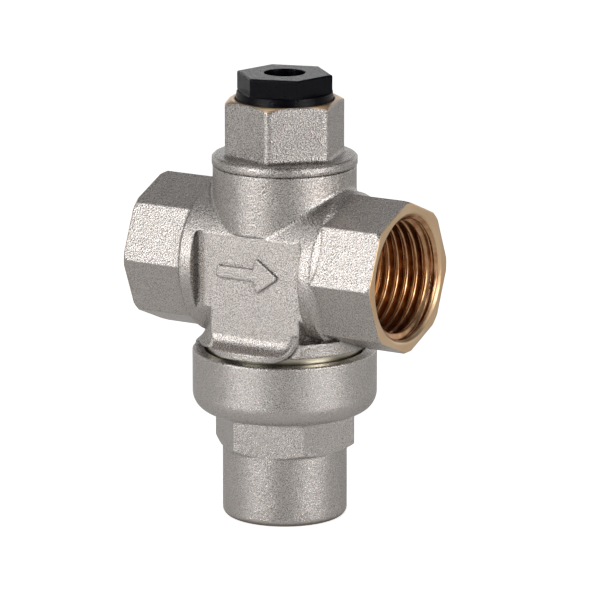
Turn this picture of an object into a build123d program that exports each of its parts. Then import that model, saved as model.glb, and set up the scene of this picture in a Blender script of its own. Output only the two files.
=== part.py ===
from build123d import *
from math import cos, pi, sqrt
import os

# Straight pressure reducing valve of the balanced piston type, 1/2 inch, in millimetres.
# The origin is on the piston axis at the foot of the bonnet. +Z is up, the water runs
# from the inlet at -X to the outlet at +X, and the cast arrow is on the -Y side.

# Port ends of the body
face_to_face = 48.0
port_flats = 24.0              # across the flats of the octagon, with a corner at the top
port_thread_radius = 10.48     # root of the female thread
port_depth = 12.5
port_mouth_chamfer = 0.45
port_corner_break = 0.4        # the turned end face takes this much off the octagon's corners

# Forged middle of the body
barrel_radius = 13.2           # round barrel that carries both octagons
barrel_length = 25.7
barrel_shoulder = 0.7          # length of the steep cone down to the flats
barrel_edge = 0.25
axis_above_bonnet = 14.7       # port axis over the bonnet's rim
tower_radius = 12.05           # upright cylinder that takes the bush
tower_height = 16.8            # from the port axis to the top face
tower_edge_break = 0.2
tower_fillet = 0.9             # where the tower runs into the barrel

# Flat front and back of the body, each with a sunk field and a slightly raised plate
plate_distance = 11.6          # from the piston axis to the plate
plate_width = 17.1
field_width = 21.0
field_drop = 0.4               # how far the field falls away beside the plate
field_top = 6.5                # above the port axis
field_corner_radius = 1.2
arrow_length = 12.0
arrow_width = 6.4
arrow_shaft_width = 2.0
arrow_head_length = 4.6
arrow_height = 0.45
arrow_corner_radius = 0.45

# Foot of the body: forged lobes in front, behind and at the inlet and a shoulder under the
# outlet, all on a round neck; heights count from the bonnet's rim
lobe_radius = 15.1
flat_reach = 7.4               # how far the flat goes towards the inlet, under the barrel
front_lobe_rise = 0.75         # its lowest edge
front_lobe_rim = 1.2           # height of its outer edge
front_lobe_corner = 4.2
front_lobe_bend = 2.0          # from the plate out to the ledge
front_lobe_end = 3.2           # the ledge curves up by this towards the outlet
front_lobe_overrun = 0.2       # how far that curve runs past the end of the flat
inlet_lobe_width = 17.6
inlet_lobe_rise = 0.3
inlet_lobe_rim = 0.4
inlet_lobe_ledge = 0.8         # how much its ledge slopes up to the neck
inlet_lobe_bend = 0.9
inlet_lobe_corner = 3.4
outlet_shoulder_rise = 1.5
outlet_shoulder_rim = 2.3
outlet_shoulder_bend = 1.6
forged_neck_radius = 13.0
forged_neck_flare = 1.4
forged_neck_rise = 1.3         # its lower edge
flare_height = 3.4
flare_bend_radius = 5.4
turned_neck_radius = 13.1
turned_neck_foot = 0.6         # how far the turned neck reaches into the bonnet
spigot_radius = 13.6           # male thread that the bonnet screws onto
spigot_length = 8.0            # inside the bonnet

# Water ways
chamber_radius = 9.0
wall_hole_radius = 3.4
partition_height = 3.4
partition_over_axis = 0.5      # top of the partition over the port axis
inlet_hole_over_axis = 5.2
outlet_hole_under_axis = 6.7
cylinder_radius = 10.6         # bore that the large piston runs in
cylinder_rise = 0.5            # its upper end over the bonnet's rim

# Seat
seat_bore_radius = 4.6
seat_wall = 1.2
seat_flange_width = 0.9
seat_flange_height = 0.5
seat_lip_width = 0.6
seat_lip_height = 0.4

# Bush on top
bush_flats = 18.0
bush_hexagon_height = 9.2
bush_hexagon_turn = -15.0      # degrees, as it was tightened
bush_corner_round = 1.2
bush_corner_drop = 0.7         # how far the turned break takes down the hexagon's corners
bush_foot_fillet = 0.6         # from the hexagon out onto the collar
bush_collar_radius = 12.2
bush_collar_band = 1.3
bush_collar_slope = 0.6
bush_thread_radius = 9.5
bush_nose_radius = 8.0
bush_nose_height = 1.0
bush_edge = 0.35
bush_ring_section = 1.1
gauge_thread_radius = 6.6
gauge_thread_depth = 9.1
gauge_face_depth = 0.25        # the plug's flange sits this deep in the top face
gauge_ring_space = 1.05        # room under the flange for its ring

# Plug in the gauge port
plug_flats = 14.2
plug_hexagon_height = 3.1
plug_hexagon_turn = 16.9       # degrees
plug_edge_round = 0.3
plug_flange_radius = 8.2
plug_flange_draft = 0.15
plug_flange_height = 1.45
plug_end_chamfer = 0.6
plug_end_gap = 0.8             # from the plug's end to the floor of its hole
plug_recess_radius = 3.5
plug_recess_depth = 6.0

# Spring bonnet
bonnet_foot_radius = 10.5
bonnet_foot_height = 12.0
bonnet_foot_edge = 1.2
bonnet_flats = 21.0
bonnet_hexagon_height = 6.2
bonnet_hexagon_turn = 16.2     # degrees
bonnet_corner_drop = 0.8
bonnet_ring_radius = 15.55
bonnet_ring_height = 10.6
bonnet_ring_round = 3.3
bonnet_rim_round = 0.3
bonnet_floor = 1.5
bonnet_key_hole_radius = 5.2
spring_bore_radius = 8.7
screw_thread_runout = 0.7      # the thread starts this far under the screw's highest place
gasket_height = 0.8
gasket_width = 2.2

# Adjusting screw and what it lifts
screw_thread_radius = 8.0
screw_height = 5.5
screw_travel = 2.0             # up and down from the setting shown
screw_socket_flats = 8.0
screw_socket_depth = 3.5
screw_edge = 0.4
screw_ring_section = 1.0
screw_ring_depth = 1.3         # from the screw's top to the middle of its ring
thrust_washer_height = 0.6
thrust_washer_inset = 0.4
thrust_washer_bore = 3.0
spring_plate_height = 1.6
spring_plate_boss_radius = 5.2
spring_plate_boss_height = 1.4
spring_plate_edge = 0.4

# Spring
spring_radius = 6.6            # to the middle of the wire
spring_wire = 1.8
spring_turns = 4.5

# Piston and what is clamped on its rod
stroke = 2.6                   # from open, as shown, to closed
piston_crown = 3.3
piston_skirt_bore = 8.3
piston_edge = 0.3
piston_ring_section = 1.6
guide_ring_height = 1.6
guide_ring_depth = 0.9
guide_ring_foot = 0.9          # from the piston's lower end to its wear band
guide_ring_gap = 0.03          # radial, in the cylinder
rod_radius = 3.0
rod_thread_radius = 2.0
rod_channel_radius = 1.0
washer_height = 2.0
washer_radius = 6.0
washer_proud = 0.8             # how far the rubber disc stands out of its holder
holder_wall = 0.9
holder_height = 3.2
holder_edge = 0.5
sleeve_radius = 4.95
sleeve_height = 6.5
sleeve_ring_section = 1.4
sleeve_ring_depth = 1.9        # from the sleeve's top to the middle of its ring
nut_flats = 7.0
nut_height = 2.5
nut_corner_drop = 0.3
rod_end = 0.8                  # thread showing above the nut

# Clearances
running_gap = 0.05             # radial, between pieces that move on each other
fitted_gap = 0.02              # radial, between pieces that are fixed together
stop_gap = 0.2                 # axial, at the open and closed stops

# Heights worked out from the above, over the foot of the bonnet
hexagon_low = bonnet_foot_height
ring_low = hexagon_low + bonnet_hexagon_height
bonnet_top = ring_low + bonnet_ring_height
spigot_low = bonnet_top - spigot_length
cup_floor = spigot_low - gasket_height
port_axis = bonnet_top + axis_above_bonnet
tower_top = port_axis + tower_height
partition_top = port_axis + partition_over_axis
partition_low = partition_top - partition_height
seat_lip_top = partition_top + seat_flange_height + seat_lip_height
cylinder_top = bonnet_top + cylinder_rise

screw_low = bonnet_floor + screw_travel + stop_gap
screw_top = screw_low + screw_height
thrust_low = screw_top + fitted_gap
plate_low = thrust_low + thrust_washer_height + fitted_gap
plate_top = plate_low + spring_plate_height

piston_top = cylinder_top - stop_gap
piston_low = cup_floor + stroke + stop_gap
crown_low = piston_top - piston_crown
washer_low = seat_lip_top + stroke
washer_top = washer_low + washer_height
holder_low = washer_low + washer_proud
holder_top = holder_low + holder_height
sleeve_top = holder_top + sleeve_height
nut_top = sleeve_top + nut_height
rod_top = nut_top + rod_end

bush_low = holder_top + stop_gap
collar_top = tower_top + bush_collar_band + bush_collar_slope
bush_top = collar_top + bush_hexagon_height
gauge_chamber = bush_top - gauge_thread_depth
plug_flange_low = bush_top - gauge_face_depth
plug_hexagon_low = plug_flange_low + plug_flange_height
plug_top = plug_hexagon_low + plug_hexagon_height


def turned(corners):
    """Solid of revolution about Z from its corners, each a radius and a height."""
    outline = Polyline(*[(radius, 0, height) for radius, height in corners], close=True)
    return revolve(make_face(outline), Axis.Z)


def tube(outer, inner, low, high):
    return turned([(inner, low), (outer, low), (outer, high), (inner, high)])


def rod(radius, low, high):
    return turned([(0, low), (radius, low), (radius, high), (0, high)])


def prism(flats, sides, low, high, turn=0.0):
    """Upright prism across its flats; turn 0 puts a corner on the X axis."""
    outline = RegularPolygon(flats / 2, sides, major_radius=False, rotation=turn)
    return Pos(0, 0, low) * extrude(outline, high - low)


def along_port(shape):
    """Lay a shape that was made about Z along the port axis, its top towards +X."""
    return Pos(0, 0, port_axis) * Rot(0, 90, 0) * shape


def o_ring(groove_radius, section, middle):
    """Rubber ring whose inside rests in a groove of the given radius."""
    return Pos(0, 0, middle) * Torus(groove_radius + section / 2 + fitted_gap, section / 2)


def corner_break(flats, sides, low, high, drop, lower=True, upper=True):
    """Turned envelope that takes the corners off a prism's ends at 30 degrees."""
    corner = flats / 2 / cos(pi / sides) + fitted_gap
    run = drop * sqrt(3)
    corners = [(0, low)]
    corners += [(corner - run, low), (corner, low + drop)] if lower else [(corner, low)]
    corners += [(corner, high - drop), (corner - run, high)] if upper else [(corner, high)]
    corners.append((0, high))
    return turned(corners)


def port_octagons():
    """Both octagonal ends in one prism, with their outer corners broken by the facing cut."""
    half = face_to_face / 2
    octagon = extrude(RegularPolygon(port_flats / 2, 8, major_radius=False), half, both=True)
    corner = port_flats / 2 / cos(pi / 8)
    facing = turned([(0, -half), (corner - port_corner_break, -half),
                     (corner + fitted_gap, port_corner_break * 2 - half),
                     (corner + fitted_gap, half - port_corner_break * 2),
                     (corner - port_corner_break, half), (0, half)])
    return along_port(octagon & facing)


def barrel():
    """Round barrel between the octagons, ending in a steep cone down to their flats."""
    half = barrel_length / 2
    end_radius = port_flats / 2 - fitted_gap
    edge = barrel_radius - barrel_edge
    return along_port(turned([(0, -half - barrel_shoulder), (end_radius, -half - barrel_shoulder),
                              (edge, -half), (barrel_radius, barrel_edge - half),
                              (barrel_radius, half - barrel_edge), (edge, half),
                              (end_radius, half + barrel_shoulder), (0, half + barrel_shoulder)]))


def tower():
    """Upright tower with the fillet that leads out onto the barrel around it."""
    half = barrel_length / 2 - barrel_edge
    crossing = along_port(rod(barrel_radius, -face_to_face, face_to_face))
    crossing += turned([(0, port_axis), (tower_radius, port_axis), (tower_radius, tower_top - tower_edge_break),
                        (tower_radius - tower_edge_break, tower_top), (0, tower_top)])
    seam = crossing.edges().filter_by(GeomType.CIRCLE, reverse=True).filter_by(GeomType.LINE, reverse=True)
    return fillet(seam, tower_fillet) & Pos(0, 0, port_axis) * Box(2 * half, face_to_face, 4 * tower_height)


def sunk_field():
    """What the flat front leaves out of the barrel: an upright slot with rounded top corners."""
    half = field_width / 2
    plate_half = plate_width / 2
    far = 2 * plate_distance
    section = Polyline((-half, -plate_distance + field_drop), (-plate_half, -plate_distance),
                       (plate_half, -plate_distance), (half, -plate_distance + field_drop),
                       (half, -far), (-half, -far), close=True)
    slot = extrude(make_face(section), port_axis + field_top)
    height = port_axis + field_top
    window = Pos(0, 0, height / 2) * Rot(90, 0, 0) * extrude(Rectangle(field_width, height), far)
    top_edges = window.edges().filter_by(Axis.Y).group_by(Axis.Z)[-1]
    return slot & fillet(top_edges, field_corner_radius)


def round_ledge(rise, rim, ledge, bend):
    """Ring around the neck: rim, ledge that slopes up inwards and the bend into the neck."""
    low = bonnet_top + rise
    rim_top = low + rim
    ledge_top = rim_top + ledge
    bend_start = forged_neck_radius + bend
    high = ledge_top + bend
    outside = Polyline((0, low), (lobe_radius, low), (lobe_radius, rim_top), (bend_start, ledge_top))
    curve = RadiusArc((bend_start, ledge_top), (forged_neck_radius, high), bend)
    back = Polyline((forged_neck_radius, high), (0, high), (0, low))
    return revolve(Plane.XZ * make_face(outside + curve + back), Axis.Z)


def lobe_window(left, right, low, high, corner_radius):
    """What a lobe on the -Y side may fill as seen from there, with rounded lower corners."""
    outline = Pos((right + left) / 2, (low + high) / 2) * Rectangle(right - left, high - low)
    window = extrude(Plane.XZ * outline, lobe_radius)
    return fillet(window.edges().filter_by(Axis.Y).group_by(Axis.Z)[0], corner_radius)


flat_end = sqrt(lobe_radius ** 2 - plate_distance ** 2)


def flats():
    """Flat front and back, carried down from the barrel to the foot."""
    height = port_axis - bonnet_top - forged_neck_rise
    block = Box(flat_reach + flat_end, 2 * plate_distance, height)
    return Pos((flat_end - flat_reach) / 2, 0, port_axis - height / 2) * block


def front_lobe():
    """Lobe under the flat plate: a disc whose ledge is scooped out as far as the plate."""
    low = bonnet_top + front_lobe_rise
    ledge = low + front_lobe_rim
    high = ledge + front_lobe_end
    far = 2 * lobe_radius
    scoop = Pos(flat_end + front_lobe_overrun, -plate_distance, ledge) * Box(
        far, far, far, align=(Align.MAX, Align.MAX, Align.MIN))
    end_edge = scoop.edges().filter_by(Axis.Y).group_by(Axis.Z)[0].sort_by(Axis.X)[-1]
    scoop = fillet(end_edge, front_lobe_end)
    inner_face = scoop.faces().sort_by(Axis.Y)[-1]
    bend_edges = inner_face.edges().filter_by(lambda edge: edge.center().Z < high)
    scoop = fillet(bend_edges, front_lobe_bend)
    window = lobe_window(-flat_reach, flat_end, low, high + front_lobe_corner, front_lobe_corner)
    return (rod(lobe_radius, low, high) & window) - scoop


def inlet_lobe():
    """Lobe under the inlet, round like the neck that it grows from."""
    low = bonnet_top + inlet_lobe_rise
    half = inlet_lobe_width / 2
    ring = round_ledge(inlet_lobe_rise, inlet_lobe_rim, inlet_lobe_ledge, inlet_lobe_bend)
    window = lobe_window(-half, half, low, port_axis, inlet_lobe_corner)
    return ring & Rot(0, 0, -90) * window


def outlet_shoulder():
    """Half ring under the outlet."""
    ring = round_ledge(outlet_shoulder_rise, outlet_shoulder_rim, 0, outlet_shoulder_bend)
    return ring & Box(face_to_face, face_to_face, 2 * tower_top, align=(Align.MIN, Align.CENTER, Align.CENTER))


def forged_neck():
    """Round neck that flares out towards the turned neck below it."""
    low = bonnet_top + forged_neck_rise
    high = low + flare_height
    flare_end = forged_neck_radius + forged_neck_flare
    flare = RadiusArc((forged_neck_radius, high), (flare_end, low), -flare_bend_radius)
    rest = Polyline((flare_end, low), (0, low), (0, port_axis), (forged_neck_radius, port_axis),
                    (forged_neck_radius, high))
    return revolve(Plane.XZ * make_face(flare + rest), Axis.Z)


def flow_arrow():
    """Plain raised arrow on the front plate that points from inlet to outlet."""
    tip = arrow_length / 2
    neck = tip - arrow_head_length
    outline = Polyline((-tip, -arrow_shaft_width / 2), (neck, -arrow_shaft_width / 2),
                       (neck, -arrow_width / 2), (tip, 0), (neck, arrow_width / 2),
                       (neck, arrow_shaft_width / 2), (-tip, arrow_shaft_width / 2), close=True)
    bottom = Plane((0, -plate_distance + arrow_height, port_axis), x_dir=(1, 0, 0), z_dir=(0, -1, 0))
    arrow = extrude(bottom * make_face(outline), 2 * arrow_height)
    return fillet(arrow.edges().filter_by(Axis.Y), arrow_corner_radius)


def forging():
    """Outside of the body as it leaves the forging die."""
    middle = barrel() + port_octagons() + tower() + forged_neck() + outlet_shoulder() + flats()
    front = sunk_field()
    middle = middle - front - Rot(0, 0, 180) * front
    lobe = front_lobe()
    return middle + lobe + mirror(lobe, Plane.XZ) + inlet_lobe() + flow_arrow()


def valve_body():
    """Forged body with its turned spigot, ports, chambers and seat partition."""
    neck_low = bonnet_top - turned_neck_foot
    body = forging() + tube(turned_neck_radius, cylinder_radius, neck_low, bonnet_top + forged_neck_rise)
    body += tube(spigot_radius, cylinder_radius, spigot_low, neck_low)
    body -= rod(cylinder_radius, spigot_low, cylinder_top)
    body -= rod(chamber_radius, cylinder_top, partition_low)
    body -= rod(chamber_radius, partition_top, bush_low + bush_nose_height)
    body -= rod(bush_thread_radius + fitted_gap, bush_low + bush_nose_height, tower_top)
    body -= rod(seat_bore_radius + seat_wall + fitted_gap, partition_low, partition_top)
    half = face_to_face / 2
    mouth = turned([(0, half - port_depth), (port_thread_radius, half - port_depth),
                    (port_thread_radius, half - port_mouth_chamfer),
                    (port_thread_radius + port_mouth_chamfer, half), (0, half)])
    for turn in (0, 180):
        body -= Rot(0, 0, turn) * along_port(mouth)
    way = Rot(0, 90, 0) * Cylinder(wall_hole_radius, port_depth, align=(Align.CENTER, Align.CENTER, Align.MIN))
    body -= Pos(0, 0, port_axis - outlet_hole_under_axis) * way
    body -= Pos(0, 0, port_axis + inlet_hole_over_axis) * Rot(0, 0, 180) * way
    return body


def seat_ring():
    """Stainless seat pressed into the partition, with a narrow raised lip."""
    outer = seat_bore_radius + seat_wall
    flange_top = partition_top + seat_flange_height
    return turned([(seat_bore_radius, partition_low), (outer, partition_low), (outer, partition_top),
                   (outer + seat_flange_width, partition_top), (outer + seat_flange_width, flange_top),
                   (seat_bore_radius + seat_lip_width, flange_top),
                   (seat_bore_radius + seat_lip_width, seat_lip_top), (seat_bore_radius, seat_lip_top)])


bush_ring_groove = bush_thread_radius - bush_ring_section


def upper_bush():
    """Bush: forged hexagon and collar, turned thread with ring groove, nose and the stepped bore."""
    hexagon = prism(bush_flats, 6, tower_top, bush_top, bush_hexagon_turn)
    hexagon = fillet(hexagon.edges().filter_by(Axis.Z), bush_corner_round)
    hexagon &= corner_break(bush_flats, 6, tower_top, bush_top, bush_corner_drop, lower=False)
    groove_top = tower_top
    groove_low = tower_top - bush_ring_section - 2 * fitted_gap
    nose_top = bush_low + bush_nose_height
    stem = turned([(0, bush_low), (bush_nose_radius, bush_low), (bush_nose_radius, nose_top),
                   (bush_thread_radius, nose_top), (bush_thread_radius, groove_low),
                   (bush_ring_groove, groove_low), (bush_ring_groove, groove_top),
                   (bush_collar_radius - tower_edge_break, tower_top),
                   (bush_collar_radius, tower_top + tower_edge_break),
                   (bush_collar_radius, tower_top + bush_collar_band),
                   (bush_collar_radius - bush_edge, tower_top + bush_collar_band + bush_edge),
                   (bush_nose_radius, collar_top), (0, collar_top)])
    bush = hexagon + stem
    foot = bush.edges().filter_by_position(Axis.Z, tower_top + bush_collar_band + bush_edge, collar_top)
    bush = fillet(foot.filter_by(lambda edge: edge.length < bush_flats), bush_foot_fillet)
    bush -= rod(sleeve_radius + running_gap, bush_low, gauge_chamber)
    bush -= rod(gauge_thread_radius, gauge_chamber, bush_top)
    face_recess = rod(plug_flange_radius + stop_gap, plug_flange_low - gauge_ring_space, bush_top)
    return bush - face_recess


def gauge_plug():
    """Moulded plug: hexagon, round flange, threaded shank and the blind hole in its head."""
    hexagon = prism(plug_flats, 6, plug_hexagon_low, plug_top, plug_hexagon_turn)
    hexagon = fillet(hexagon.edges().group_by(Axis.Z)[-1], plug_edge_round)
    shank_radius = gauge_thread_radius - fitted_gap
    shank_low = gauge_chamber + plug_end_gap
    stem = turned([(0, shank_low), (shank_radius - plug_end_chamfer, shank_low),
                   (shank_radius, shank_low + plug_end_chamfer), (shank_radius, plug_flange_low),
                   (plug_flange_radius, plug_flange_low),
                   (plug_flange_radius - plug_flange_draft, plug_hexagon_low), (0, plug_hexagon_low)])
    plug = hexagon + stem
    return plug - rod(plug_recess_radius, plug_top - plug_recess_depth, plug_top)


def gauge_plug_o_ring():
    section = gauge_ring_space - 2 * fitted_gap
    return o_ring(gauge_thread_radius, section, plug_flange_low - gauge_ring_space / 2)


def bush_o_ring():
    return o_ring(bush_ring_groove, bush_ring_section - 2 * fitted_gap,
                  tower_top - bush_ring_section / 2 - fitted_gap)


def lower_bonnet():
    """Spring bonnet: foot with a rounded edge, hexagon, and the ring that screws over the spigot."""
    foot = fillet(rod(bonnet_foot_radius, 0, ring_low).edges().group_by(Axis.Z)[0], bonnet_foot_edge)
    hexagon = prism(bonnet_flats, 6, hexagon_low, ring_low + bonnet_ring_round, bonnet_hexagon_turn)
    hexagon &= corner_break(bonnet_flats, 6, hexagon_low, ring_low + bonnet_ring_round,
                            bonnet_corner_drop, upper=False)
    ring = rod(bonnet_ring_radius, ring_low, bonnet_top)
    ring = fillet(ring.edges().group_by(Axis.Z)[0], bonnet_ring_round)
    rim = ring.edges().group_by(Axis.Z)[-1]
    bonnet = foot + hexagon + fillet(rim, bonnet_rim_round)
    bonnet -= rod(spigot_radius + fitted_gap, cup_floor, bonnet_top)
    bonnet -= rod(spring_bore_radius, screw_top + screw_travel - screw_thread_runout, cup_floor)
    bonnet -= rod(screw_thread_radius, bonnet_floor, cup_floor)
    return bonnet - rod(bonnet_key_hole_radius, 0, bonnet_floor)


def bonnet_gasket():
    outer = spigot_radius - fitted_gap
    return tube(outer, outer - gasket_width, cup_floor, spigot_low)


screw_ring_groove = screw_thread_radius - screw_ring_section - running_gap
screw_ring_middle = screw_top - screw_ring_depth


def adjusting_screw():
    """Threaded disc with a hexagon socket from below and a groove for its friction ring."""
    radius = screw_thread_radius - running_gap
    half = screw_ring_section / 2 + fitted_gap
    disc = turned([(0, screw_low), (radius - screw_edge, screw_low), (radius, screw_low + screw_edge),
                   (radius, screw_ring_middle - half), (screw_ring_groove, screw_ring_middle - half),
                   (screw_ring_groove, screw_ring_middle + half), (radius, screw_ring_middle + half),
                   (radius, screw_top), (0, screw_top)])
    socket = prism(screw_socket_flats, 6, screw_low, screw_low + screw_socket_depth)
    return disc - socket


def screw_o_ring():
    return o_ring(screw_ring_groove, screw_ring_section - 2 * fitted_gap, screw_ring_middle)


def thrust_washer():
    outer = screw_thread_radius - thrust_washer_inset
    return tube(outer, thrust_washer_bore, thrust_low, thrust_low + thrust_washer_height)


def spring_plate():
    """Plate under the spring, with a boss that keeps the spring in the middle."""
    radius = screw_thread_radius - stop_gap
    boss_top = plate_top + spring_plate_boss_height
    return turned([(0, plate_low), (radius, plate_low), (radius, plate_top),
                   (spring_plate_boss_radius, plate_top),
                   (spring_plate_boss_radius, boss_top - spring_plate_edge),
                   (spring_plate_boss_radius - spring_plate_edge, boss_top), (0, boss_top)])


def pressure_spring():
    """Round wire spring with both ends ground flat."""
    low = plate_top
    high = crown_low
    lift = (high - low) / spring_turns
    start = low - spring_wire / 4
    path = Pos(0, 0, start) * Helix(lift, high - low + spring_wire / 2, spring_radius)
    section = Plane(path @ 0, z_dir=path % 0) * Circle(spring_wire / 2)
    coil = sweep(section, path, is_frenet=True)
    return coil & rod(spring_bore_radius, low, high)


piston_radius = cylinder_radius - running_gap
piston_ring_groove = piston_radius - piston_ring_section
piston_ring_middle = piston_top - piston_crown / 2
guide_ring_low = piston_low + guide_ring_foot
guide_ring_groove = piston_radius - guide_ring_depth


def piston():
    """Large piston and its rod in one turned piece, with ring grooves and the gauge channel."""
    half = piston_ring_section / 2 + fitted_gap
    guide_top = guide_ring_low + guide_ring_height + 2 * fitted_gap
    outline = [(0, crown_low), (piston_skirt_bore, crown_low), (piston_skirt_bore, piston_low),
               (piston_radius, piston_low), (piston_radius, guide_ring_low),
               (guide_ring_groove, guide_ring_low), (guide_ring_groove, guide_top),
               (piston_radius, guide_top), (piston_radius, piston_ring_middle - half),
               (piston_ring_groove, piston_ring_middle - half),
               (piston_ring_groove, piston_ring_middle + half),
               (piston_radius, piston_ring_middle + half), (piston_radius, piston_top - piston_edge),
               (piston_radius - piston_edge, piston_top), (rod_radius, piston_top), (rod_radius, washer_low),
               (rod_thread_radius, washer_low), (rod_thread_radius, rod_top), (0, rod_top)]
    body = turned(outline)
    inlet_height = (cylinder_top + partition_low) / 2
    cross = Pos(0, 0, inlet_height) * Rot(0, 90, 0) * Cylinder(rod_channel_radius, 3 * rod_radius)
    return body - cross - rod(rod_channel_radius, inlet_height, rod_top)


def piston_o_ring():
    return o_ring(piston_ring_groove, piston_ring_section - 2 * fitted_gap, piston_ring_middle)


def piston_guide_ring():
    """Plastic wear band, a little proud of the piston."""
    low = guide_ring_low + fitted_gap
    outer = cylinder_radius - guide_ring_gap
    return tube(outer, guide_ring_groove + fitted_gap, low, low + guide_ring_height)


def seat_washer():
    return tube(washer_radius, rod_thread_radius + fitted_gap, washer_low, washer_top)


def disc_holder():
    """Cup that holds the rubber disc by its rim and back."""
    inner = washer_radius + fitted_gap
    outer = inner + holder_wall
    bore = rod_thread_radius + fitted_gap
    return turned([(bore, washer_top), (inner, washer_top), (inner, holder_low), (outer, holder_low),
                   (outer, holder_top - holder_edge), (outer - holder_edge, holder_top), (bore, holder_top)])


sleeve_ring_groove = sleeve_radius - sleeve_ring_section
sleeve_ring_middle = sleeve_top - sleeve_ring_depth


def guide_sleeve():
    """Upper guide of the rod, as wide as the seat, so that the inlet pressure cancels out."""
    half = sleeve_ring_section / 2 + fitted_gap
    bore = rod_thread_radius + fitted_gap
    return turned([(bore, holder_top), (sleeve_radius, holder_top), (sleeve_radius, sleeve_ring_middle - half),
                   (sleeve_ring_groove, sleeve_ring_middle - half),
                   (sleeve_ring_groove, sleeve_ring_middle + half),
                   (sleeve_radius, sleeve_ring_middle + half), (sleeve_radius, sleeve_top),
                   (bore, sleeve_top)])


def guide_o_ring():
    return o_ring(sleeve_ring_groove, sleeve_ring_section - 2 * fitted_gap, sleeve_ring_middle)


def piston_nut():
    nut = prism(nut_flats, 6, sleeve_top, nut_top)
    nut &= corner_break(nut_flats, 6, sleeve_top, nut_top, nut_corner_drop)
    return nut - rod(rod_thread_radius + fitted_gap, sleeve_top, nut_top)


pieces = {
    "valve_body": valve_body,
    "seat_ring": seat_ring,
    "upper_bush": upper_bush,
    "bush_o_ring": bush_o_ring,
    "gauge_plug": gauge_plug,
    "gauge_plug_o_ring": gauge_plug_o_ring,
    "lower_bonnet": lower_bonnet,
    "bonnet_gasket": bonnet_gasket,
    "adjusting_screw": adjusting_screw,
    "screw_o_ring": screw_o_ring,
    "thrust_washer": thrust_washer,
    "spring_plate": spring_plate,
    "pressure_spring": pressure_spring,
    "piston": piston,
    "piston_o_ring": piston_o_ring,
    "piston_guide_ring": piston_guide_ring,
    "seat_washer": seat_washer,
    "disc_holder": disc_holder,
    "guide_sleeve": guide_sleeve,
    "guide_o_ring": guide_o_ring,
    "piston_nut": piston_nut,
}

os.makedirs("parts", exist_ok=True)
for name, make in pieces.items():
    export_step(make(), f"parts/{name}.step")
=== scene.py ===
import bpy
import numpy as np
from math import radians
from mathutils import Matrix, Vector


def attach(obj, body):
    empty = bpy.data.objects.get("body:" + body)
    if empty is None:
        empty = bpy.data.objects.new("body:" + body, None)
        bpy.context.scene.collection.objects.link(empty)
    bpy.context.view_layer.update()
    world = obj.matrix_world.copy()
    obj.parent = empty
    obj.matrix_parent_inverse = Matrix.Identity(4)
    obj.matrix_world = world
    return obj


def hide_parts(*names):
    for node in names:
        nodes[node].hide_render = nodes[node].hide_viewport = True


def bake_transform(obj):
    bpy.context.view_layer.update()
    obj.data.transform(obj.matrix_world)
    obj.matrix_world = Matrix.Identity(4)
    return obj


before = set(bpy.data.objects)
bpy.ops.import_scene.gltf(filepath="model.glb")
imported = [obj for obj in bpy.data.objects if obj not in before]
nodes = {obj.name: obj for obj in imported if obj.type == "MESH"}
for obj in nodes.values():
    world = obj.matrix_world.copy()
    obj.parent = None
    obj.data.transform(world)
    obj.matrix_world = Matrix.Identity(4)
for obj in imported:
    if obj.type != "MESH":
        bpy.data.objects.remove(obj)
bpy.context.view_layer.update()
mm = 0.001
portAxis = 43.5 * mm               # height of the axis that both ports share
photoAzimuth = radians(31.4)       # the photograph's side, from the front (-Y) towards the outlet (+X)
print("frame loaded:", len(nodes), "nodes")


# camera
# the photograph's view, worked out from the ports, the rings and the hexagons

cameraView = {
    "azimuth": photoAzimuth,
    "elevation": radians(13.25),
    "distance": 877.7 * mm,
    "aim": Vector((1.542, 0.941, 37.62)) * mm,
    "lens": 318.4,
    "sensor": 36,
    "clipStart": 50 * mm,
}


def placeCamera(v):
    a, e = v["azimuth"], v["elevation"]
    back = Vector((np.sin(a) * np.cos(e), -np.cos(a) * np.cos(e), np.sin(e)))
    right = Vector((np.cos(a), np.sin(a), 0))
    up = back.cross(right)
    data = bpy.data.cameras.new("photoCamera")
    data.lens = v["lens"]
    data.sensor_width = v["sensor"]
    data.clip_start = v["clipStart"]
    camera = bpy.data.objects.new("photoCamera", data)
    camera.matrix_world = Matrix.Translation(v["aim"] + back * v["distance"]) @ \
        Matrix((right, up, back)).transposed().to_4x4()
    bpy.context.scene.collection.objects.link(camera)
    bpy.context.scene.camera = camera


placeCamera(cameraView)
print("camera placed")


# small helpers for materials

def hexColour(code):
    # sRGB hex to the linear values that Blender's sockets take
    s = np.array([int(code[i:i + 2], 16) for i in (1, 3, 5)]) / 255
    linear = np.where(s <= 0.04045, s / 12.92, ((s + 0.055) / 1.055) ** 2.4)
    return (*[float(c) for c in linear], 1.0)


def addNode(tree, kind, settings=None, **inputs):
    # one node: settings are its own properties, inputs are numbers, colours or sockets
    node = tree.nodes.new(kind)
    for key, value in (settings or {}).items():
        setattr(node, key, value)
    for key, value in inputs.items():
        socket = node.inputs[int(key[1:])] if key[1:].isdigit() else node.inputs[key.replace("_", " ")]
        if isinstance(value, bpy.types.NodeSocket):
            tree.links.new(value, socket)
        else:
            socket.default_value = value
    return node


def newMaterial(name):
    material = bpy.data.materials.new(name)
    material.use_nodes = True
    tree = material.node_tree
    tree.nodes.clear()
    output = tree.nodes.new("ShaderNodeOutputMaterial")
    shader = tree.nodes.new("ShaderNodeBsdfPrincipled")
    tree.links.new(shader.outputs[0], output.inputs["Surface"])
    return material, tree, shader


def setRamp(node, stops):
    ramp = node.color_ramp
    while len(ramp.elements) > len(stops):
        ramp.elements.remove(ramp.elements[-1])
    while len(ramp.elements) < len(stops):
        ramp.elements.new(0.5)
    for element, (place, colour) in zip(ramp.elements, stops):
        element.position = place
        element.color = hexColour(colour) if isinstance(colour, str) else (colour, colour, colour, 1)
    return node


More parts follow.
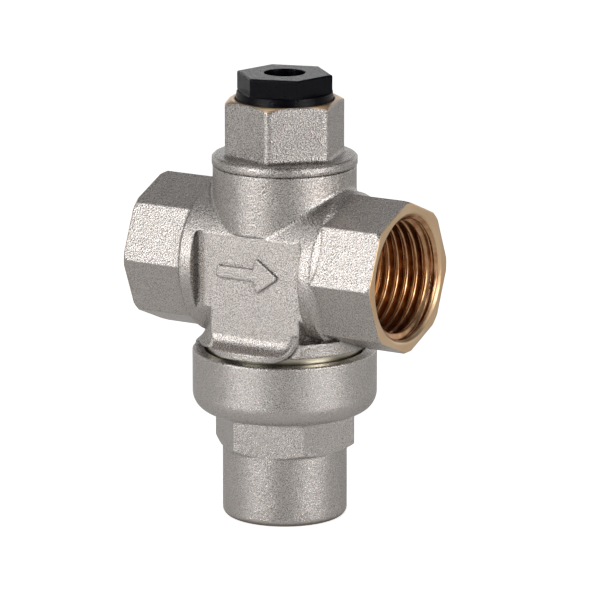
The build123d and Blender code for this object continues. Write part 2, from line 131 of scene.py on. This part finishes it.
def waveScale(spacing):
    # a wave texture of scale 1 turns through 20 radians in a metre
    return 2 * np.pi / (20 * spacing)


def dress(material, *names):
    for name in names:
        for slot in nodes[name].material_slots:
            slot.material = material


# the machined zones of the plated pieces, as the turning tool left them bare

machined = {
    "portFace": 23.93 * mm,        # the end faces lie beyond this
    "portBore": 11.0 * mm,         # everything nearer to the port axis, behind the face
    "portBack": 11.3 * mm,
    "neckTop": 30.42 * mm,         # turned neck under the forged lobes
    "neckRadius": 13.35 * mm,
    "bodyInside": 10.9 * mm,       # chambers, from the piston axis
    "bushInside": 8.2 * mm,
    "bonnetInside": 10.2 * mm,
    "bushTop": 71.37 * mm,         # just under the top face of the bush
    "bushBreak": 9.2 * mm,         # where the corner break of the bush starts
    "bushBreakFall": 0.577,        # and how steeply it falls, at 30 degrees
}


def machinedMask(tree, kind):
    # 1 on machined brass and 0 on nickel, from where the point lies on the valve, and the same for
    # the neck alone
    place = addNode(tree, "ShaderNodeTexCoord").outputs["Object"]
    xyz = addNode(tree, "ShaderNodeSeparateXYZ", Vector=place).outputs

    def calc(operation, a, b=0.0):
        return addNode(tree, "ShaderNodeMath", {"operation": operation}, _0=a, _1=b).outputs[0]

    def reach(a, b):
        # distance from an axis
        return calc("SQRT", calc("ADD", calc("MULTIPLY", a, a), calc("MULTIPLY", b, b)))

    fromAxis = reach(xyz["X"], xyz["Y"])
    if kind == "body":
        along = calc("ABSOLUTE", xyz["X"])
        face = calc("GREATER_THAN", along, machined["portFace"])
        fromPort = reach(xyz["Y"], calc("SUBTRACT", xyz["Z"], portAxis))
        bore = calc("MULTIPLY", calc("LESS_THAN", fromPort, machined["portBore"]),
                    calc("GREATER_THAN", along, machined["portBack"]))
        neck = calc("MULTIPLY", calc("LESS_THAN", xyz["Z"], machined["neckTop"]),
                    calc("LESS_THAN", fromAxis, machined["neckRadius"]))
        inside = calc("LESS_THAN", fromAxis, machined["bodyInside"])
        return calc("MINIMUM", calc("ADD", calc("ADD", face, bore), calc("ADD", neck, inside)), 1.0), neck
    if kind == "bush":
        past = calc("MAXIMUM", calc("SUBTRACT", fromAxis, machined["bushBreak"]), 0.0)
        fall = calc("MULTIPLY", past, machined["bushBreakFall"])
        top = calc("GREATER_THAN", calc("ADD", xyz["Z"], fall), machined["bushTop"])
        inside = calc("LESS_THAN", fromAxis, machined["bushInside"])
        return calc("MINIMUM", calc("ADD", top, inside), 1.0), 0.0
    return calc("LESS_THAN", fromAxis, machined["bonnetInside"]), 0.0


# nickel plated brass: forged or turned, then blasted with fine grit and plated with nickel,
# which gives a warm silver that sparkles grain by grain; the cuts made afterwards are bare brass

platedBrass = {
    "thinPlate": "#EDE5CE",        # the turned neck, where the brass shows through a thin plating
    "brass": "#FBDCB8",
    "brassDark": "#EFC99E",
    "patch": 9 * mm,               # of lighter and darker brass
    "roughness": 0.26,
    "scatter": 0.08,               # how far the roughness goes up and down from grain to grain
    "grain": 0.17 * mm,            # dimples of the blasting
    "dimple": 0.255 * mm,          # and wider ones between them
    "grainDepth": 0.058 * mm,
    "cutRoughness": 0.30,
    "toolMark": 1.382 * mm,        # from one ring that the turning tool left to the next
    "toolDepth": 0.006 * mm,
    "paintedShadeReach": 1.1 * mm,       # painted shade: how far into inner corners the colour is darkened, found by ambient occlusion
    "paintedCornerShade": 0.38,
}


def platedBrassMaterial(name, kind, edge, nickelDark, nickel):
    p = platedBrass
    material, tree, shader = newMaterial(name)
    mask, neck = machinedMask(tree, kind)
    place = addNode(tree, "ShaderNodeTexCoord").outputs["Object"]
    grain = addNode(tree, "ShaderNodeTexNoise", Vector=place, Scale=1 / p["grain"], Detail=2.0, Roughness=0.6)
    dimples = addNode(tree, "ShaderNodeTexVoronoi", {"feature": "SMOOTH_F1"}, Vector=place,
                      Scale=1 / p["dimple"], Smoothness=0.6)
    cloud = addNode(tree, "ShaderNodeTexNoise", Vector=place, Scale=1 / p["patch"], Detail=3.0)
    height = addNode(tree, "ShaderNodeMath", {"operation": "ADD"}, _0=grain.outputs[0],
                     _1=dimples.outputs[0]).outputs[0]
    nickelHue = setRamp(addNode(tree, "ShaderNodeValToRGB", Fac=grain.outputs[0]),
                        [(0.36, nickelDark), (0.64, nickel)])
    brassHue = setRamp(addNode(tree, "ShaderNodeValToRGB", Fac=cloud.outputs[0]),
                       [(0.3, p["brassDark"]), (0.65, p["brass"])])
    cutHue = addNode(tree, "ShaderNodeMix", {"data_type": "RGBA"}, _0=neck, _6=brassHue.outputs[0],
                     _7=hexColour(p["thinPlate"]))
    plain = addNode(tree, "ShaderNodeMix", {"data_type": "RGBA"}, _0=mask, _6=nickelHue.outputs[0],
                    _7=cutHue.outputs[2])
    # painted shade: the nickel and brass colours are darkened in inner corners and recesses, where ambient
    # occlusion finds nearby surfaces
    corner = addNode(tree, "ShaderNodeAmbientOcclusion", {"samples": 8}, Distance=p["paintedShadeReach"])
    paintedShade = setRamp(addNode(tree, "ShaderNodeValToRGB", Fac=corner.outputs["AO"]),
                    [(0.45, p["paintedCornerShade"]), (0.9, 1.0)])
    hue = addNode(tree, "ShaderNodeMix", {"data_type": "RGBA", "blend_type": "MULTIPLY"}, _0=1.0,
                  _6=plain.outputs[2], _7=paintedShade.outputs[0])
    rough = addNode(tree, "ShaderNodeMapRange", Value=grain.outputs[0], From_Min=0.3, From_Max=0.7,
                    To_Min=p["roughness"] - p["scatter"], To_Max=p["roughness"] + p["scatter"])
    roughness = addNode(tree, "ShaderNodeMix", _0=mask, _2=rough.outputs[0], _3=p["cutRoughness"])
    rounded = addNode(tree, "ShaderNodeBevel", {"samples": 6}, Radius=edge)
    blasted = addNode(tree, "ShaderNodeBump", Height=height, Strength=1.0, Distance=p["grainDepth"],
                      Normal=rounded.outputs[0])
    # rings round the port axis on the body and round the piston axis on the others
    centre = (0, 0, portAxis if kind == "body" else 0)
    around = {"wave_type": "RINGS", "rings_direction": "X" if kind == "body" else "Z"}
    fromCentre = addNode(tree, "ShaderNodeVectorMath", {"operation": "SUBTRACT"}, _0=place, _1=centre)
    rings = addNode(tree, "ShaderNodeTexWave", around, Vector=fromCentre.outputs[0],
                    Scale=waveScale(p["toolMark"]), Distortion=0.4)
    turnedNormal = addNode(tree, "ShaderNodeBump", Height=rings.outputs[1], Strength=1.0,
                           Distance=p["toolDepth"], Normal=rounded.outputs[0])
    normal = addNode(tree, "ShaderNodeMix", {"data_type": "VECTOR"}, _0=mask, _4=blasted.outputs[0],
                     _5=turnedNormal.outputs[0])
    shader.inputs["Metallic"].default_value = 1.0
    tree.links.new(hue.outputs[2], shader.inputs["Base Color"])
    tree.links.new(roughness.outputs[0], shader.inputs["Roughness"])
    tree.links.new(normal.outputs[1], shader.inputs["Normal"])
    return material


dress(platedBrassMaterial("forgedNickelPlate", "body", 0.45 * mm, "#A8A19B", "#E3DDD9"), "valve_body")
dress(platedBrassMaterial("bushNickelPlate", "bush", 0.9 * mm, "#9B948E", "#E7E1DD"), "upper_bush")
dress(platedBrassMaterial("bonnetNickelPlate", "bonnet", 0.3 * mm, "#BDB6B1", "#E1DCD9"), "lower_bonnet")


# turned brass inside: bright, with the fine rings of the tool

turnedBrass = {"light": "#D8A964", "dark": "#B98A4A", "patch": 4 * mm, "roughness": 0.22,
               "toolMark": 1.131 * mm, "toolDepth": 0.004 * mm}


def turnedBrassMaterial(p):
    material, tree, shader = newMaterial("turnedBrass")
    place = addNode(tree, "ShaderNodeTexCoord").outputs["Object"]
    marks = addNode(tree, "ShaderNodeTexWave", {"bands_direction": "Z"}, Vector=place,
                    Scale=waveScale(p["toolMark"]), Distortion=0.3)
    cloud = addNode(tree, "ShaderNodeTexNoise", Vector=place, Scale=1 / p["patch"], Detail=3.0)
    hue = setRamp(addNode(tree, "ShaderNodeValToRGB", Fac=cloud.outputs[0]),
                  [(0.3, p["dark"]), (0.7, p["light"])])
    bump = addNode(tree, "ShaderNodeBump", Height=marks.outputs[1], Strength=0.3, Distance=p["toolDepth"])
    shader.inputs["Metallic"].default_value = 1.0
    shader.inputs["Roughness"].default_value = p["roughness"]
    tree.links.new(hue.outputs[0], shader.inputs["Base Color"])
    tree.links.new(bump.outputs[0], shader.inputs["Normal"])
    return material


# stainless and spring steel: drawn or turned, a cooler grey with a fine grain

def steelMaterial(name, colour, roughness):
    material, tree, shader = newMaterial(name)
    place = addNode(tree, "ShaderNodeTexCoord").outputs["Object"]
    lines = addNode(tree, "ShaderNodeTexNoise", Vector=place, Scale=1 / (0.3 * mm), Detail=2.0)
    rough = addNode(tree, "ShaderNodeMapRange", Value=lines.outputs[0], To_Min=roughness - 0.06,
                    To_Max=roughness + 0.06)
    bump = addNode(tree, "ShaderNodeBump", Height=lines.outputs[0], Strength=0.4, Distance=0.005 * mm)
    shader.inputs["Metallic"].default_value = 1.0
    shader.inputs["Base Color"].default_value = hexColour(colour)
    tree.links.new(rough.outputs[0], shader.inputs["Roughness"])
    tree.links.new(bump.outputs[0], shader.inputs["Normal"])
    return material


# moulded plastics, rubber and fibre: matt, with a fine grain of the mould or the sheet

def mouldedMaterial(name, light, dark, roughness, grain, depth, edge=0.0, gloss=0.5):
    material, tree, shader = newMaterial(name)
    place = addNode(tree, "ShaderNodeTexCoord").outputs["Object"]
    fine = addNode(tree, "ShaderNodeTexNoise", Vector=place, Scale=1 / grain, Detail=3.0, Roughness=0.65)
    cloud = addNode(tree, "ShaderNodeTexNoise", Vector=place, Scale=1 / (2.2 * mm), Detail=4.0)
    hue = setRamp(addNode(tree, "ShaderNodeValToRGB", Fac=cloud.outputs[0]), [(0.35, dark), (0.7, light)])
    rough = addNode(tree, "ShaderNodeMapRange", Value=fine.outputs[0], To_Min=roughness - 0.08,
                    To_Max=roughness + 0.08)
    bump = addNode(tree, "ShaderNodeBump", Height=fine.outputs[0], Strength=1.0, Distance=depth)
    shader.inputs["Specular IOR Level"].default_value = gloss
    if edge:
        rounded = addNode(tree, "ShaderNodeBevel", {"samples": 6}, Radius=edge)
        tree.links.new(rounded.outputs[0], bump.inputs["Normal"])
    tree.links.new(hue.outputs[0], shader.inputs["Base Color"])
    tree.links.new(rough.outputs[0], shader.inputs["Roughness"])
    tree.links.new(bump.outputs[0], shader.inputs["Normal"])
    return material


dress(turnedBrassMaterial(turnedBrass),
      "piston", "disc_holder", "guide_sleeve", "piston_nut", "adjusting_screw")
dress(steelMaterial("turnedStainless", "#B9B8B5", 0.28), "seat_ring")
springSteel = steelMaterial("springSteel", "#8F9091", 0.34)
dress(springSteel, "spring_plate")
dress(mouldedMaterial("blackPolyamide", "#0A0A14", "#04040A", 0.18, 0.3 * mm, 0.07 * mm,
                      edge=0.25 * mm, gloss=0.14), "gauge_plug")
dress(mouldedMaterial("acetalPlastic", "#EDEBE4", "#DEDBD2", 0.45, 0.3 * mm, 0.004 * mm),
      "piston_guide_ring", "thrust_washer")
dress(mouldedMaterial("nitrileRubber", "#1C1C1C", "#111111", 0.62, 0.2 * mm, 0.005 * mm),
      "bush_o_ring", "gauge_plug_o_ring", "screw_o_ring", "piston_o_ring", "seat_washer", "guide_o_ring")
dress(mouldedMaterial("gasketFibre", "#8A4B34", "#5E3223", 0.8, 0.25 * mm, 0.02 * mm), "bonnet_gasket")
print("materials on the solids")


# port threads: the rounded ridge of a pipe thread, wound down each port from its mouth

portThread = {
    "pitch": 1.814 * mm,
    "root": 10.47 * mm,
    "crest": 9.32 * mm,
    "flat": 1.22,                  # how far the wave is stretched before it is cut flat
    "face": 23.55 * mm,            # the mouth's chamfer ends here
    "deep": 11.62 * mm,
    "runOut": 2.1768 * mm,         # over which the thread fades out at its deep end
    "cover": 0.005 * mm,           # the least that is left between thread and root
    "around": 192,
    "perPitch": 14,
    "mouthSlope": 1.0,             # the thread is cut back at 45 degrees behind the chamfer
}


def portThreadPiece(name, p, side):
    # radius over (angle, depth): a triangle wave of the pitch, rounded at crest and root, whose
    # phase turns once round the port; the mouth's cone and a run-out at the end cut it back
    rows = int(round((p["face"] - p["deep"]) / p["pitch"] * p["perPitch"]))
    angle = np.linspace(0, 2 * np.pi, p["around"], endpoint=False)[None, :]
    along = np.linspace(p["face"], p["deep"], rows)[:, None]
    turn = (p["face"] - along) / p["pitch"] - angle / (2 * np.pi)
    wave = 2 * np.abs(2 * (turn % 1.0) - 1) - 1
    shape = np.sin(np.pi / 2 * np.clip(p["flat"] * wave, -1, 1))
    middle, half = (p["root"] + p["crest"]) / 2, (p["root"] - p["crest"]) / 2
    cone = p["root"] - (p["face"] - along) * p["mouthSlope"]
    fade = p["crest"] + (p["deep"] + p["runOut"] - along) / p["runOut"] * (p["root"] - p["crest"])
    radius = np.maximum(middle - half * shape, np.maximum(cone, fade))
    radius = np.minimum(radius, p["root"] - p["cover"])

    def circles(x, r):
        return np.stack([side * np.broadcast_to(x, r.shape), r * np.cos(angle),
                         portAxis + r * np.sin(angle)], -1)

    ends = circles(along[[-1, 0]], np.full((2, p["around"]), p["root"]))
    return closedTube(name, np.concatenate([circles(along, radius), ends]), side < 0)


def closedTube(name, grid, flip):
    # quads over a grid whose rows and columns both close, so the sleeve has an inside and an outside
    rows, columns = grid.shape[:2]
    index = np.arange(rows * columns).reshape(rows, columns)
    right, below = np.roll(index, -1, 1), np.roll(index, -1, 0)
    diagonal = np.roll(below, -1, 1)
    quads = np.stack([index, right, diagonal, below], -1).reshape(-1, 4)
    if flip:
        quads = quads[:, ::-1]
    mesh = bpy.data.meshes.new(name)
    mesh.from_pydata(grid.reshape(-1, 3).tolist(), [], quads.tolist())
    mesh.polygons.foreach_set("use_smooth", np.ones(len(quads), bool))
    mesh.update()
    piece = bpy.data.objects.new(name, mesh)
    bpy.context.scene.collection.objects.link(piece)
    return piece


# cut brass in the ports: a tapped surface, redder and darker than the faces because it sees only itself

tappedBrass = {"light": "#D9AE86", "dark": "#A87850", "patch": 1.6 * mm, "roughness": 0.24,
               "grain": 0.12 * mm, "grainDepth": 0.004 * mm}


def tappedBrassMaterial(p):
    material, tree, shader = newMaterial("tappedBrass")
    place = addNode(tree, "ShaderNodeTexCoord").outputs["Object"]
    cloud = addNode(tree, "ShaderNodeTexNoise", Vector=place, Scale=1 / p["patch"], Detail=4.0)
    hue = setRamp(addNode(tree, "ShaderNodeValToRGB", Fac=cloud.outputs[0]),
                  [(0.3, p["dark"]), (0.7, p["light"])])
    fine = addNode(tree, "ShaderNodeTexNoise", Vector=place, Scale=1 / p["grain"], Detail=2.0)
    bump = addNode(tree, "ShaderNodeBump", Height=fine.outputs[0], Strength=0.6, Distance=p["grainDepth"])
    shader.inputs["Metallic"].default_value = 1.0
    shader.inputs["Roughness"].default_value = p["roughness"]
    tree.links.new(hue.outputs[0], shader.inputs["Base Color"])
    tree.links.new(bump.outputs[0], shader.inputs["Normal"])
    return material


tapped = tappedBrassMaterial(tappedBrass)
for threadName, side in (("outletThread", 1), ("inletThread", -1)):
    thread = portThreadPiece(threadName, portThread, side)
    thread.data.materials.append(tapped)
    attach(thread, "body")
print("port threads cut")


# pressure spring: wound as two halves, a foot and a head, that meet in one turn

coilSpring = {
    "coil": 6.6 * mm,              # to the middle of the wire
    "wire": 1.8 * mm,
    "low": 11.44 * mm,
    "split": 17.68 * mm,           # shares the height by how far each end moves
    "high": 25.8 * mm,
    "overrun": 0.45 * mm,          # how far the middle of the wire passes the ground ends
    "turns": 4.5,
    "around": 24,
    "perTurn": 40,
}


def springHalf(name, p, start, end):
    # a circle of the wire's radius, square to a helix of even pitch, and cut flat where it passes
    # the ground ends
    lift = (p["high"] - p["low"]) / p["turns"]
    height = np.linspace(start, end, int((end - start) / lift * p["perTurn"]))[:, None]
    angle = 2 * np.pi * (height - p["low"] + p["overrun"]) / lift
    around = np.linspace(0, 2 * np.pi, p["around"], endpoint=False)[None, :]
    up = np.clip(p["wire"] / 2 * np.sin(around), p["low"] - height, p["high"] - height)
    radius = p["coil"] + np.sign(np.cos(around)) * np.sqrt((p["wire"] / 2) ** 2 - up ** 2)
    slope = np.arctan2(lift, 2 * np.pi * p["coil"])
    grid = np.stack([radius * np.cos(angle) + up * np.sin(slope) * np.sin(angle),
                     radius * np.sin(angle) - up * np.sin(slope) * np.cos(angle), height + up], -1)
    rows, columns = grid.shape[:2]
    index = np.arange(rows * columns).reshape(rows, columns)
    beside = np.roll(index, -1, 1)
    quads = np.stack([index[:-1], beside[:-1], beside[1:], index[1:]], -1).reshape(-1, 4).tolist()
    mesh = bpy.data.meshes.new(name)
    lids = [index[0][::-1].tolist(), index[-1].tolist()]
    mesh.from_pydata(grid.reshape(-1, 3).tolist(), [], quads + lids)
    mesh.polygons.foreach_set("use_smooth", [True] * len(quads) + [False, False])
    mesh.update()
    piece = bpy.data.objects.new(name, mesh)
    bpy.context.scene.collection.objects.link(piece)
    mesh.materials.append(springSteel)
    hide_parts("pressure_spring")
    return piece


springFoot = springHalf("springFoot", coilSpring, coilSpring["low"] - coilSpring["overrun"],
                        coilSpring["split"])
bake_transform(springFoot)
springHead = springHalf("springHead", coilSpring, coilSpring["split"],
                        coilSpring["high"] + coilSpring["overrun"])
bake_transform(springHead)
print("spring wound")


# floor, lamps and world

studio = {
    "floorColour": "#E9E8E6",
    "floorSize": 4.0,
    "floorGlow": 0.80,             # what the camera alone sees on the floor besides its lit colour
    "floorShine": 0.06,            # and what the metal's reflections see besides it
    "floorRoughness": 0.9,
    "backdrop": [(0.0, 1.0), (0.2, 1.0), (0.4, 0.05), (0.65, 0.05), (1.0, 1.2)],   # from level to upright
    "backdropEdge": (-0.1, 0.5),   # where it begins and is full: 0 is beside the valve, 1 straight behind
    "front": [(0.0, 0.03), (1.0, 0.03)],
    "boxAway": 1.2,
    "boxAim": 40 * mm,             # the height on the piston axis that all soft boxes point at
}
lowBox, highBox = (0.52, 0.5), (0.7, 0.5)
# azimuths count from the camera's, towards the outlet
softBoxes = [
    {"name": "leftBox", "azimuth": -50, "elevation": 13, "size": lowBox, "radiance": 6.3},
    {"name": "rightBox", "azimuth": 50, "elevation": 13, "size": lowBox, "radiance": 6.3},
    {"name": "leftTopBox", "azimuth": -60, "elevation": 42, "size": highBox, "radiance": 2.0},
    {"name": "frontTopBox", "azimuth": 0, "elevation": 42, "size": highBox, "radiance": 0.35},
    {"name": "rightTopBox", "azimuth": 60, "elevation": 42, "size": highBox, "radiance": 0.6},
    {"name": "sideBox", "azimuth": 75, "elevation": 13, "size": lowBox, "radiance": 0.2},
]


def makeFloor(p):
    size = p["floorSize"]
    mesh = bpy.data.meshes.new("floor")
    corners = [(-size, -size, 0), (size, -size, 0), (size, size, 0), (-size, size, 0)]
    mesh.from_pydata(corners, [], [(0, 1, 2, 3)])
    floor = bpy.data.objects.new("floor", mesh)
    bpy.context.scene.collection.objects.link(floor)
    material, tree, shader = newMaterial("whiteBackdropPaper")
    shader.inputs["Base Color"].default_value = hexColour(p["floorColour"])
    shader.inputs["Roughness"].default_value = p["floorRoughness"]
    rays = addNode(tree, "ShaderNodeLightPath").outputs
    shine = addNode(tree, "ShaderNodeMath", {"operation": "MULTIPLY"}, _0=rays["Is Glossy Ray"],
                    _1=p["floorShine"])
    glow = addNode(tree, "ShaderNodeMath", {"operation": "MULTIPLY_ADD"}, _0=rays["Is Camera Ray"],
                   _1=p["floorGlow"], _2=shine.outputs[0])
    shader.inputs["Emission Color"].default_value = (1, 1, 1, 1)
    tree.links.new(glow.outputs[0], shader.inputs["Emission Strength"])
    mesh.materials.append(material)


def makeWorld(p):
    world = bpy.data.worlds.new("studioWorld")
    bpy.context.scene.world = world
    world.use_nodes = True
    tree = world.node_tree
    tree.nodes.clear()
    # a white backdrop behind the valve as the camera sees it, and a dim room on the camera's side
    place = addNode(tree, "ShaderNodeTexCoord").outputs["Generated"]
    up = addNode(tree, "ShaderNodeSeparateXYZ", Vector=place).outputs["Z"]
    away = addNode(tree, "ShaderNodeVectorMath", {"operation": "DOT_PRODUCT"}, _0=place,
                   _1=(-np.sin(photoAzimuth), np.cos(photoAzimuth), 0)).outputs["Value"]
    begin, full = p["backdropEdge"]
    behind = addNode(tree, "ShaderNodeMapRange", {"interpolation_type": "SMOOTHSTEP"}, Value=away,
                     From_Min=begin, From_Max=full)
    backdrop = setRamp(addNode(tree, "ShaderNodeValToRGB", Fac=up), p["backdrop"])
    front = setRamp(addNode(tree, "ShaderNodeValToRGB", Fac=up), p["front"])
    light = addNode(tree, "ShaderNodeMix", {"data_type": "RGBA"}, _0=behind.outputs[0], _6=front.outputs[0],
                    _7=backdrop.outputs[0])
    background = addNode(tree, "ShaderNodeBackground", Color=light.outputs[2])
    output = addNode(tree, "ShaderNodeOutputWorld")
    tree.links.new(background.outputs[0], output.inputs["Surface"])


def makeSoftBox(p, box):
    data = bpy.data.lights.new(box["name"], "AREA")
    data.shape = "RECTANGLE"
    data.size, data.size_y = box["size"]
    data.energy = box["radiance"] * np.pi * data.size * data.size_y
    lamp = bpy.data.objects.new(box["name"], data)
    a, e = photoAzimuth + radians(box["azimuth"]), radians(box["elevation"])
    away = Vector((np.sin(a) * np.cos(e), -np.cos(a) * np.cos(e), np.sin(e)))
    lamp.location = Vector((0, 0, p["boxAim"])) + away * p["boxAway"]
    lamp.rotation_euler = (-away).to_track_quat("-Z", "Y").to_euler()
    bpy.context.scene.collection.objects.link(lamp)


makeFloor(studio)
makeWorld(studio)
for softBox in softBoxes:
    makeSoftBox(studio, softBox)
bpy.context.scene.view_settings.view_transform = "Standard"
print("studio lit")
